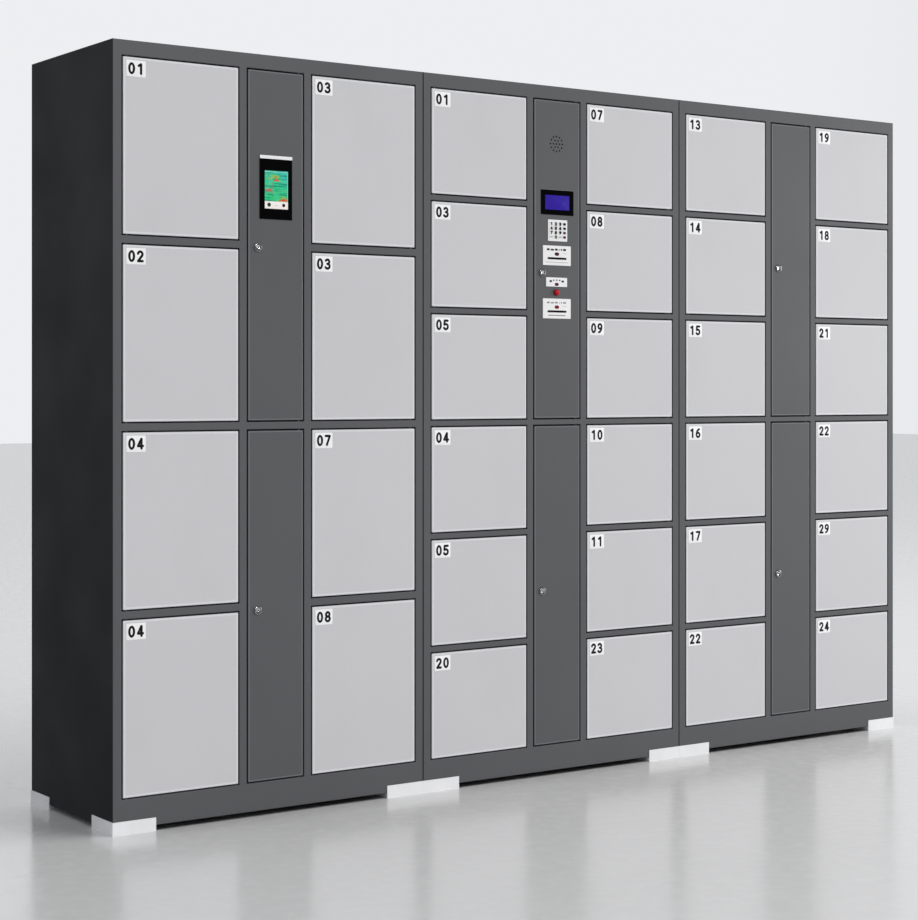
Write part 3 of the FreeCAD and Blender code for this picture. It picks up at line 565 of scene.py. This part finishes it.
# The outer faces of the side panels get the near-black painted shade
repaint("side_panels", painted_shade_sides, lambda c, n: abs(n.x) > 0.9 and n.x * c.x > 0)
repaint("side_panels", zinc, lambda c, n: abs(abs(c.x) - PITCH / 2) < COUPLING_REACH and min(
    math.hypot(c.y - y, c.z - z) for y, z in COUPLINGS) < COUPLING_RADIUS)
for part in ("partitions", "shelves"):
    paint_node(part, paint_inner)
paint_node("corner_feet", foot_white)
paint_node("electronic_locks", lock_black_and_shade)
paint_node("control_electronics", electronics)


def paint_pivot_pins(name):
    """Dark steel on the pins that stand above and below a door."""
    _, _, bottom, top = door_span(name)
    repaint(name, pin_steel, lambda c, n: not bottom - TOUCH < c.z < top + TOUCH)


for door in PARCEL_DOORS:
    name = f"door_{door}"
    paint_node(name, paint_door)
    paint_pivot_pins(name)
    repaint(name, zinc, lambda c, n: c.y > DOOR_BACK + TOUCH)

for door in SERVICE_DOORS:
    name = f"service_door_{door}"
    paint_node(name, paint_frame)
    paint_pivot_pins(name)
    lock_x, lock_z = lock_axis(door)
    repaint(name, chrome, lambda c, n: math.hypot(c.x - lock_x, c.z - lock_z) < HEAD_RADIUS and (
        c.y < FRONT_MM - TOUCH or c.y > FRONT_MM + DOOR_SHEET - TOUCH
        or math.hypot(c.x - lock_x, c.z - lock_z) < BARREL_RADIUS))
    paint_node(f"cam_lock_{door}", chrome)

paint_node("touch_terminal", bezel_black)
paint_node("lcd_display", bezel_black)
paint_node("keypad", plate_white)
paint_node("ticket_panels", plate_white)
paint_node("push_button", button_red)

button_left, button_right, button_bottom, button_top = span("push_button")
BUTTON = ((button_left + button_right) / 2, (button_bottom + button_top) / 2)


def behind_controls(c, n):
    """Faces of the loudspeaker, of its grille's holes and of the push button's bezel."""
    from_speaker = math.hypot(c.x - SPEAKER[0], c.z - SPEAKER[1])
    from_button = math.hypot(c.x - BUTTON[0], c.z - BUTTON[1])
    return (
        from_speaker < CONE_RADIUS and c.y > FRONT_MM + DOOR_SHEET + TOUCH
        or from_speaker < GRILLE_RADIUS and abs(n.y) < 0.5
        or from_button < BEZEL_RADIUS and abs(c.y - FRONT_MM) > 2 * TOUCH
    )


repaint("service_door_b_upper", lock_black_and_shade, behind_controls)


# ---------------------------------------------------------------- door rims and bands of painted gap shade

RIM_INSET = 1.4
RIM_RADII = (1.4, 1.0)
RIM_BACK, RIM_FRONT, RIM_BEVEL = -0.2, 0.25, 0.24
GAP_SHADE_OUTSIDE = 0.5  # the band of painted shade stands this far past the door's edge
GAP_SHADE_INSIDE = 0.1   # and reaches this far inside of it
GAP_SHADE_RADII = (2.1, 1.5)
GAP_SHADE_BACK, GAP_SHADE_FRONT, GAP_SHADE_BEVEL = -16.5, -1.75, 0.3


def door_border(name, body, rim_width, rim_highlight_paint, rim_slot):
    """Raised border pressed round the door's face in lighter paint, a painted highlight, and a black
    band round its folded edge, painted shade that darkens the gap.
    """
    left, right, bottom, top = door_span(body)
    cx, cz = (left + right) / 2, (bottom + top) / 2

    def grown(extra):
        return right - left + 2 * extra, top - bottom + 2 * extra

    rim = Piece(f"door_rim_{name}", rim_highlight_paint)
    rim.frame_ring(
        cx, cz, grown(-RIM_INSET), grown(-RIM_INSET - rim_width), RIM_RADII,
        RIM_BACK, RIM_FRONT, 0, RIM_BEVEL,
    )
    rim.done(body, rim_slot)
    # Black band round the door's folded edge: painted shade that makes the gap round the door look
    # black
    shade_band = Piece(f"door_gap_shade_{name}", black_rubber_and_gap_shade)
    shade_band.frame_ring(
        cx, cz, grown(GAP_SHADE_OUTSIDE), grown(-GAP_SHADE_INSIDE), GAP_SHADE_RADII,
        GAP_SHADE_BACK, GAP_SHADE_FRONT, 0, GAP_SHADE_BEVEL,
    )
    shade_band.done(body, "black_plastic")


for door in PARCEL_DOORS:
    door_border(door, f"door_{door}", 4.2, highlight_paint_door, "door_paint")
for door in SERVICE_DOORS:
    door_border(f"service_{door}", f"service_door_{door}", 2.4, highlight_paint_frame, "frame_paint")


# ---------------------------------------------------------------- welds of the frame, ground flush

EDGE_FACE = 22.0   # width of the outer stiles, which are folded from the side panels
STILE_FACE = 20.0
BEND = 2.0         # bend radius of the frame's folds
WELD_DEPTH = 1.9

welds = Piece("frame_welds", paint_frame)
for module, left in MODULE_LEFT.items():
    count = len(NUMBERS[f"{module}_left"])
    rail_spans = []
    for row in range(1, count):
        above = door_span(f"door_{module}_left_{row}")[2]
        below = door_span(f"door_{module}_left_{row + 1}")[3]
        rail_spans.append((below + GAP, above - GAP))
    service_span = (
        door_span(f"service_door_{module}_lower")[3] + GAP,
        door_span(f"service_door_{module}_upper")[2] - GAP,
    )
    edge = left + MODULE_GAP / 2 + EDGE_FACE
    stile = left + STILE_LEFT - MODULE_LEFT["a"]
    joints = [(edge - BEND, edge, z0, z1) for z0, z1 in rail_spans]
    joints += [(stile, stile + BEND, z0, z1) for z0, z1 in rail_spans]
    joints.append((edge - BEND, edge, FRAME_TOP, BODY_TOP - EDGE_FACE))
    joints.append((edge - BEND, edge, BODY_BOTTOM + EDGE_FACE, FRAME_BOTTOM))
    joints.append((stile + STILE_FACE - BEND, stile + STILE_FACE, *service_span))
    joints.append((stile, stile + STILE_FACE, FRAME_TOP, FRAME_TOP + BEND))
    joints.append((stile, stile + STILE_FACE, FRAME_BOTTOM - BEND, FRAME_BOTTOM))
    middle = left + PITCH / 2
    for x0, x1, z0, z1 in joints:
        welds.block(x0, x1, z0, z1, -WELD_DEPTH, 0.0)
        welds.block(2 * middle - x1, 2 * middle - x0, z0, z1, -WELD_DEPTH, 0.0)
welds.done("cabinet", "frame_paint")


# ---------------------------------------------------------------- door labels

LABEL_SIZE = (48.5, 37.5)
LABEL_INSET = (8.0, 7.0)
LABEL_RADIUS = 2.0
LABEL_THICKNESS = 0.6
LABEL_BEVEL = 0.25
SKIN = 0.02  # stuck-on pieces start this far outside the door's face
NUMBER_HEIGHT = 26.0
NUMBER_GAP = 5.0


def door_label(column, row, number):
    door = f"door_{column}_{row}"
    left, _, _, top = door_span(door)
    cx = left + LABEL_INSET[0] + LABEL_SIZE[0] / 2
    cz = top - LABEL_INSET[1] - LABEL_SIZE[1] / 2
    label = Piece(f"label_{column}_{row}", label_white, ink_black)
    label.rect(cx, cz, *LABEL_SIZE, LABEL_RADIUS, SKIN, LABEL_THICKNESS, LABEL_BEVEL, 0)
    cell = NUMBER_HEIGHT * DIGIT_WIDTH
    x = cx - cell - NUMBER_GAP / 2
    for digit in number:
        draw_digit(label, digit, x, cz - NUMBER_HEIGHT / 2, NUMBER_HEIGHT, LABEL_THICKNESS, 1)
        x += cell + NUMBER_GAP
    label.done(door, "white_plastic")


for column, numbers in NUMBERS.items():
    for row, number in enumerate(numbers, 1):
        door_label(column, row, number)


# ---------------------------------------------------------------- cam locks

# Profiles of (radius, height) from the back rim on
COLLAR = [
    (10.2, SKIN), (10.2, 2.1), (10.1, 2.6), (9.8, 3.0), (9.3, 3.25), (8.6, 3.3),
    (7.2, 3.3), (6.5, 3.2), (6.35, 3.0), (6.35, 0.1),
]
WASHER = [(11.4, SKIN), (11.4, 0.25), (11.2, 0.4), (10.1, 0.4), (10.1, SKIN)]
# Black ring in the collar's bore: painted shade in the gap round the plug
BORE_SHADE = [(6.34, 0.1), (6.34, 2.1), (6.12, 2.1), (6.12, 0.1)]
KEY_DISH = [(5.9, 1.95), (5.9, 3.1), (5.8, 3.2), (5.65, 3.2), (2.3, 2.12), (2.3, 1.95)]
# Black disc in the middle of the dish and the black key slot: painted shade inside the keyhole
KEYWAY = [(2.28, 1.96), (2.28, 2.06)]
KEY_SLOT = (0.9, 3.6)


def cam_lock(door):
    """Collar that stays on the door, and the dished face that turns with the key."""
    cx, cz = lock_axis(door)
    collar = Piece(f"lock_collar_{door}", collar_steel, lock_black_and_shade)
    collar.turned_ring(cx, cz, COLLAR)
    collar.turned_ring(cx, cz, WASHER, 1)
    collar.turned_ring(cx, cz, BORE_SHADE, 1)
    collar.done(f"service_door_{door}", "lock_chrome")
    dish = Piece(f"lock_plug_{door}", chrome, lock_black_and_shade, ink_black)
    dish.turned_ring(cx, cz, KEY_DISH)
    dish.turned(cx, cz, KEYWAY, 1, 28)
    dish.rect(cx, cz, *KEY_SLOT, 0.4, 2.0, 2.1, 0.03, 2)
    dish.done(f"cam_lock_{door}", "lock_chrome")


for door in SERVICE_DOORS:
    cam_lock(door)


# ---------------------------------------------------------------- touch terminal

left, right, bottom, top = span("touch_terminal")
cx = (left + right) / 2
STRIP_HEIGHT = 8.0
strip = Piece("terminal_top_strip", plate_white)
strip.rect(cx, top - STRIP_HEIGHT / 2 + 0.1, right - left - 0.6, STRIP_HEIGHT, 1.0, 1.6, 2.35, 0.3)
strip.done("service_door_a_upper", "white_plastic")

SCREEN_SIZE = (63.4, 90.4)
SCREEN_CENTRE = (cx + 1.0, (bottom + top) / 2 - 5.0)
SCREEN_BACK, SCREEN_FRONT = 1.22, 1.4
TILE_BACK = 1.3
BAR_HEIGHT = 17.6
screen_left = SCREEN_CENTRE[0] - SCREEN_SIZE[0] / 2
screen_bottom = SCREEN_CENTRE[1] - SCREEN_SIZE[1] / 2
screen = Piece(
    "terminal_screen", screen_map, screen_pale, screen_lime, screen_orange, screen_scarlet,
    screen_pink, screen_bar, screen_dark, screen_wine,
)
MAP, PALE, LIME, ORANGE, SCARLET, PINK, BAR, DARK, WINE = range(9)
screen.rect(*SCREEN_CENTRE, *SCREEN_SIZE, 0.6, SCREEN_BACK, SCREEN_FRONT, 0.1, MAP)


def tile(x0, z0, x1, z1, slot, front=1.43, radius=0.3):
    """A picture element; corners are shares of the picture area above the pale bar."""
    area = SCREEN_SIZE[1] - BAR_HEIGHT
    x0, x1 = (screen_left + x * SCREEN_SIZE[0] for x in (x0, x1))
    z0, z1 = (screen_bottom + BAR_HEIGHT + z * area for z in (z0, z1))
    screen.rect(
        (x0 + x1) / 2, (z0 + z1) / 2, x1 - x0, z1 - z0, radius, TILE_BACK, front, 0.02, slot,
    )


tile(0.005, 0.950, 0.995, 0.980, PALE)
tile(0.960, 0.010, 0.990, 0.940, PALE)
tile(0.27, 0.76, 0.63, 0.86, LIME, 1.42, 3.0)
tile(0.10, 0.72, 0.34, 0.77, LIME, 1.42, 1.6)
tile(0.42, 0.78, 0.52, 0.82, ORANGE, 1.44, 1.2)
tile(0.38, 0.655, 0.62, 0.705, ORANGE, 1.44, 1.6)
tile(0.45, 0.70, 0.53, 0.75, ORANGE, 1.45, 1.2)
tile(0.34, 0.24, 0.37, 0.66, PINK, 1.42)
tile(0.04, 0.29, 0.34, 0.32, PINK, 1.43)
tile(0.05, 0.33, 0.30, 0.415, PINK, 1.44, 1.8)
tile(0.12, 0.335, 0.24, 0.385, ORANGE, 1.45, 1.4)
tile(0.66, 0.10, 0.94, 0.17, LIME, 1.42, 2.0)
tile(0.60, 0.015, 0.955, 0.058, SCARLET, 1.44, 0.8)
tile(0.74, 0.055, 0.945, 0.090, SCARLET, 1.45, 0.8)
screen.rect(
    SCREEN_CENTRE[0], screen_bottom + BAR_HEIGHT / 2, SCREEN_SIZE[0] - 0.3, BAR_HEIGHT,
    0.5, TILE_BACK, 1.46, 0.03, BAR,
)
for share, radius, slot in ((0.185, 4.9, DARK), (0.812, 4.3, WINE)):
    screen.turned(
        screen_left + share * SCREEN_SIZE[0], screen_bottom + BAR_HEIGHT * 0.53,
        [(radius, 1.4), (radius, 1.5), (radius - 0.2, 1.56)], slot, 28,
    )
screen.rect(SCREEN_CENTRE[0], screen_bottom + 8.6, 8.0, 1.6, 0.6, 1.4, 1.5, 0.03, PALE)
screen.done("service_door_a_upper", "black_plastic")


# ---------------------------------------------------------------- LCD display

LCD_WINDOW = (80.6, 38.1)
LCD_HIGHLIGHT_HEIGHT = 1.1
left, right, bottom, top = span("lcd_display")
cx = (left + right) / 2
lcd = Piece("lcd_screen", screen_blue)
lcd.rect(cx, (bottom + top) / 2, *LCD_WINDOW, 0.6, 0.32, 0.6, 0.1)
lcd.done("service_door_b_upper", "black_plastic")
# Pale strip along the top of the LCD's bezel: a painted highlight where light catches its edge
lcd_highlight = Piece("lcd_top_highlight", lcd_highlight_grey)
lcd_highlight.rect(
    cx, top + LCD_HIGHLIGHT_HEIGHT / 2, right - left + 2.0, LCD_HIGHLIGHT_HEIGHT, 0.5, SKIN, 0.7, 0.3,
)
lcd_highlight.done("service_door_b_upper", "frame_paint")


# ---------------------------------------------------------------- keypad marks

left, right, bottom, top = span("keypad")
pad_x, pad_z = (left + right) / 2, (bottom + top) / 2
KEY_TOP = 2.8
KEY_PITCH = (14.4, 11.4)
KEY_ROWS = ("123", "456", "789", " 0 ")
KEY_DIGIT = (7.0, 7.2)
SIDE_KEY_MARK = (9.6, 6.6)
INK, MAROON, GREY = range(3)
marks = Piece("keypad_marks", ink_black, mark_maroon, mark_grey)
for row, keys in enumerate(KEY_ROWS):
    z = pad_z + (1.5 - row) * KEY_PITCH[1]
    for column, key in enumerate(keys):
        x = pad_x + (column - 1.5) * KEY_PITCH[0]
        if key == " ":
            dash = [(x - 3.4, z), (x + 3.4, z)]
            marks.stroke(dash, 1.2, KEY_TOP - INK_HEIGHT, KEY_TOP + 0.08, GREY)
        else:
            draw_digit(
                marks, key, x - KEY_DIGIT[0] / 2, z - KEY_DIGIT[1] / 2, KEY_DIGIT[1], KEY_TOP, INK,
                1.9, 1.6,
            )
    x = pad_x + 1.5 * KEY_PITCH[0]
    colour = INK if row < 2 else MAROON
    marks.rect(x, z, *SIDE_KEY_MARK, 3.0, KEY_TOP - INK_HEIGHT, KEY_TOP + 0.14, 0.1, colour)
marks.done("service_door_b_upper", "black_plastic")


# ---------------------------------------------------------------- ticket panels

panel_left, panel_right, panel_bottom, panel_top = span("ticket_panels")
panel_x = (panel_left + panel_right) / 2
PANEL_FACE = 1.5
PANEL_INK = (PANEL_FACE - INK_HEIGHT, PANEL_FACE + 0.06)
INK, LENS, GREY_MARK, PALE_MARK, LIP = range(5)
LOWER_PANEL_HEIGHT = 51.75
MIDDLE_PANEL_TOP = 1300.0

# Printed marks as (width, share of the row's height, drop from the panel's top), 3.4 mm apart
ROW_MARKS = (
    (8.6, 1.0, 10.2), (11.0, 0.82, 10.8), (8.8, 1.0, 10.2),
    (3.6, 0.7, 10.8), (4.2, 0.9, 10.2), (9.6, 1.0, 10.2),
)
ROW_START = -33.0
ROW_GAP = 3.4
# Marks of the small panel as (width, height, drop), 9.9 mm apart
MIDDLE_MARKS = (
    (8.0, 5.4, 9.8), (5.2, 3.4, 7.2), (5.0, 3.4, 6.8), (5.2, 3.6, 7.2), (8.0, 5.0, 9.8),
)
MIDDLE_PITCH = 9.9


def indicator(art, cx, cz, size, height, slot):
    """Domed lens with round ends."""
    art.slab(
        lambda inset: rounded_rect(cx, cz, *size, size[1] / 2 - 0.1, inset),
        PANEL_FACE - INK_HEIGHT, PANEL_FACE + height, height - 0.1, slot, 6,
    )


def ticket_panel(name, top_z, row_slot, row_height, line, lens):
    """Printed marks, indicator lens and slot lips of a ticket panel."""
    art = Piece(name, ink_black, lens, mark_grey, mark_pale, black_rubber_and_gap_shade)
    x = panel_x + ROW_START
    for width, share, drop in ROW_MARKS:
        art.rect(
            x + width / 2, top_z - drop, width, row_height * share, 1.3, *PANEL_INK, 0.04, row_slot,
        )
        x += width + ROW_GAP
    indicator(art, panel_x - 0.4, top_z - 21.8, (14.4, 8.8), 1.1, LENS)
    art.rect(panel_x + 25.0, top_z - 19.4, 14.0, 1.1, 0.5, *PANEL_INK, 0.03, PALE_MARK)
    art.frame_ring(
        panel_x, top_z - 33.3, (62.6, 5.6), (59.0, 1.5), (2.6, 0.7), -1.0, PANEL_FACE + 0.25,
        LIP, 0.4,
    )
    width, height, slot = line
    art.rect(panel_x - 0.5, top_z - 43.5, width, height, 0.7, *PANEL_INK, 0.04, slot)
    art.done("service_door_b_upper", "white_plastic")


ticket_panel(
    "ticket_panel_upper_marks", panel_top, INK, 5.4, (76.0, 1.7, PALE_MARK), mark_maroon,
)
ticket_panel(
    "ticket_panel_lower_marks", panel_bottom + LOWER_PANEL_HEIGHT, GREY_MARK, 4.2,
    (57.0, 2.6, GREY_MARK), mark_red,
)

middle_x = panel_x - 0.9
middle = Piece("ticket_panel_middle_marks", ink_black, mark_maroon)
for i, (width, height, drop) in enumerate(MIDDLE_MARKS):
    middle.rect(
        middle_x + (i - 2) * MIDDLE_PITCH, MIDDLE_PANEL_TOP - drop, width, height, 1.5,
        *PANEL_INK, 0.04, LENS if i in (2, 3) else INK,
    )
indicator(middle, middle_x, MIDDLE_PANEL_TOP - 17.8, (12.8, 8.0), 1.0, LENS)
middle.done("service_door_b_upper", "white_plastic")


# ---------------------------------------------------------------- rivets on the back

RIVET_PROFILE = ((3.6, -0.05), (3.6, 0.25), (3.1, 0.8), (2.2, 1.2), (1.1, 1.42))
RIVET_INSET = 8.5
RIVET_ROWS = 10
RIVET_COLUMNS = 5
RIVET_HEIGHTS = (32.0, 1768.0)       # lowest and highest rivet of the panel's sides
RIVET_EDGE_HEIGHTS = (20.5, 1792.5)  # rivets along the panel's bottom and top


def back_rivets(module, x0, x1):
    """Domed rivets that hold a back panel to the rear flanges."""
    rivets = Piece(f"back_rivets_{module}", zinc)
    lift = -(BACK - FRONT) / MM
    low, high = RIVET_HEIGHTS
    spots = []
    for i in range(RIVET_ROWS):
        z = low + i * (high - low) / (RIVET_ROWS - 1)
        spots += [(x0 + RIVET_INSET, z), (x1 - RIVET_INSET, z)]
    for i in range(1, RIVET_COLUMNS):
        x = x0 + RIVET_INSET + (x1 - x0 - 2 * RIVET_INSET) * i / RIVET_COLUMNS
        spots += [(x, z) for z in RIVET_EDGE_HEIGHTS]
    for x, z in spots:
        rings = [rivets.ring(circle(x, z, r, 20), lift - w) for r, w in RIVET_PROFILE]
        for lower, upper in zip(rings, rings[1:]):
            rivets.bridge(upper, lower, 0)
        rivets.face(rings[-1][::-1], 0)
        rivets.face(rings[0], 0)
    rivets.done("cabinet", "lock_chrome")


for module, left in MODULE_LEFT.items():
    back_rivets(module, left + MODULE_GAP / 2, left + PITCH - MODULE_GAP / 2)


# ---------------------------------------------------------------- stage

FLOOR_HALF = 30
corners = [(-1, -1), (1, -1), (1, 1), (-1, 1)]
floor_mesh = bpy.data.meshes.new("floor")
floor_mesh.from_pydata([(x * FLOOR_HALF, y * FLOOR_HALF, 0) for x, y in corners], [], [(0, 1, 2, 3)])
floor = bpy.data.objects.new("floor", floor_mesh)
bpy.context.scene.collection.objects.link(floor)
floor_mesh.materials.append(plastic("floor_pale", (0.65, 0.65, 0.65), 0.19, 0.01, 0.0, 40.0))

# Studio surroundings: a soft gradient, brightest towards BRIGHT_SIDE
BRIGHT_SIDE = (-0.22, 0.97, 0.10)
world = bpy.data.worlds.new("studio")
bpy.context.scene.world = world
world.use_nodes = True
tree = world.node_tree
background = tree.nodes["Background"]
background.inputs["Color"].default_value = (0.96, 0.98, 1.0, 1.0)
direction = tree.nodes.new("ShaderNodeTexCoord")
toward = tree.nodes.new("ShaderNodeVectorMath")
toward.operation = "DOT_PRODUCT"
toward.inputs[1].default_value = BRIGHT_SIDE
tree.links.new(direction.outputs["Generated"], toward.inputs[0])
gradient = tree.nodes.new("ShaderNodeMapRange")
for socket, number in (
    ("From Min", -0.85), ("From Max", 0.55), ("To Min", 0.12), ("To Max", 0.88),
):
    gradient.inputs[socket].default_value = number
tree.links.new(toward.outputs["Value"], gradient.inputs["Value"])
tree.links.new(gradient.outputs["Result"], background.inputs["Strength"])

LAMP_COLOUR = (1.0, 0.99, 0.98)


def aimed(name, kind, place, aim, energy, floor_state):
    """Lamp hidden from the camera; it lights the floor alone (INCLUDE) or all but it (EXCLUDE)."""
    data = bpy.data.lights.new(name, kind)
    data.color = LAMP_COLOUR
    data.energy = energy
    lamp = bpy.data.objects.new(name, data)
    lamp.location = place
    lamp.rotation_euler = (Vector(aim) - Vector(place)).to_track_quat("-Z", "Y").to_euler()
    lamp.visible_camera = False
    bpy.context.scene.collection.objects.link(lamp)
    receivers = bpy.data.collections.new(f"{name}_receivers")
    receivers.objects.link(floor)
    receivers.collection_objects[0].light_linking.link_state = floor_state
    lamp.light_linking.receiver_collection = receivers
    return data


def square(data, size):
    data.shape = "RECTANGLE"
    data.size = data.size_y = size


key_lamp = aimed("key", "SUN", (0.8, -9.0, 5.6), (0.0, 0.0, 0.9), 2.0, "EXCLUDE")
key_lamp.angle = math.radians(16)
side_lamp = aimed("side", "AREA", (8.5, -3.6, 2.0), (0.6, 0.0, 0.7), 44.0, "EXCLUDE")
square(side_lamp, 3.0)
side_lamp.spread = math.radians(75)
fill_lamp = aimed("fill", "AREA", (4.5, -4.0, 7.0), (3.5, -2.5, 0.0), 600.0, "INCLUDE")
square(fill_lamp, 7.0)


# ---------------------------------------------------------------- camera

CAMERA_PLACE = (-3.2416, -4.3844, 1.0125)
CAMERA_HEADING = -35.16  # degrees; the camera is level
camera_data = bpy.data.cameras.new("camera")
camera_data.sensor_width = 36.0
camera_data.lens = 78.74
camera_data.shift_y = -0.0788
camera = bpy.data.objects.new("camera", camera_data)
camera.location = CAMERA_PLACE
camera.rotation_euler = (math.radians(90.0), 0.0, math.radians(CAMERA_HEADING))
bpy.context.scene.collection.objects.link(camera)
bpy.context.scene.camera = camera
bpy.context.scene.view_settings.view_transform = "Standard"
